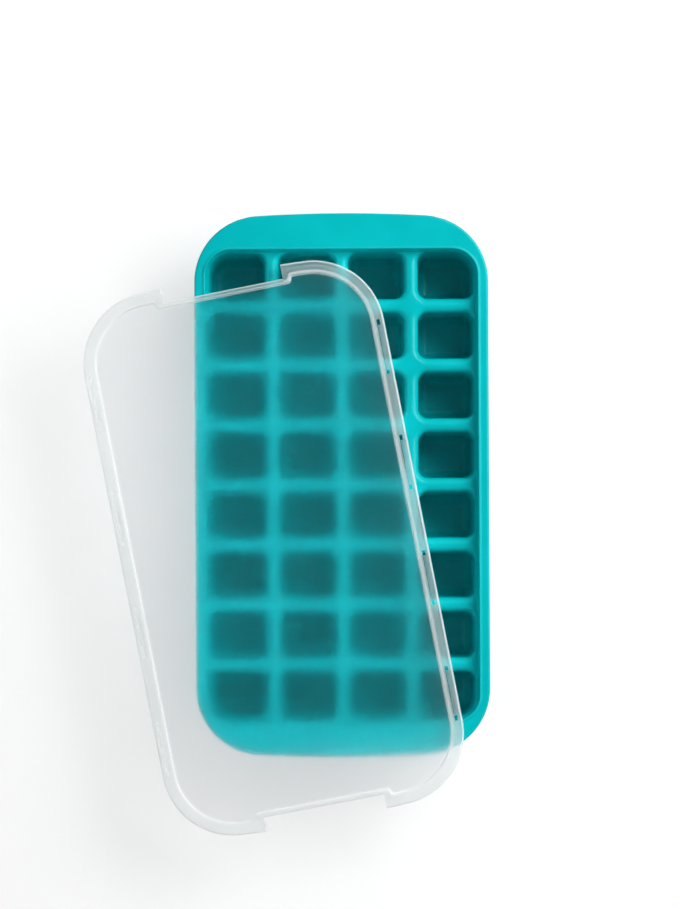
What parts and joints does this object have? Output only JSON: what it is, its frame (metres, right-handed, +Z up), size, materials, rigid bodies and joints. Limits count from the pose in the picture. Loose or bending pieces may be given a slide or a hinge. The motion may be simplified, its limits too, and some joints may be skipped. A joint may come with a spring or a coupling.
{
  "type": "ice cube tray with lid",
  "caption": "Soft rectangular ice cube tray with drafted cups under a flat rim, and a stiff translucent press-on lid lying askew on it that lifts off.",
  "frame": {"origin": "middle of the tray's footprint, on the plane that the cups stand on", "axes": "+X across the tray, +Y along it towards the end that the lid leaves bare, +Z up"},
  "size_m": [0.1653, 0.2535, 0.0443],
  "materials": {
    "silicone": "satin turquoise silicone",
    "frosted_plastic": "frosted translucent polypropylene, with a clear glossy band"
  },
  "bodies": {
    "tray": {"tray": "silicone"},
    "lid": {"lid": "frosted_plastic"}
  },
  "joints": [
    {"name": "lid_lift", "type": "slide", "parent": "tray", "child": "lid", "axis": [0, 0, 1], "range_m": [0, 0.1]}
  ]
}
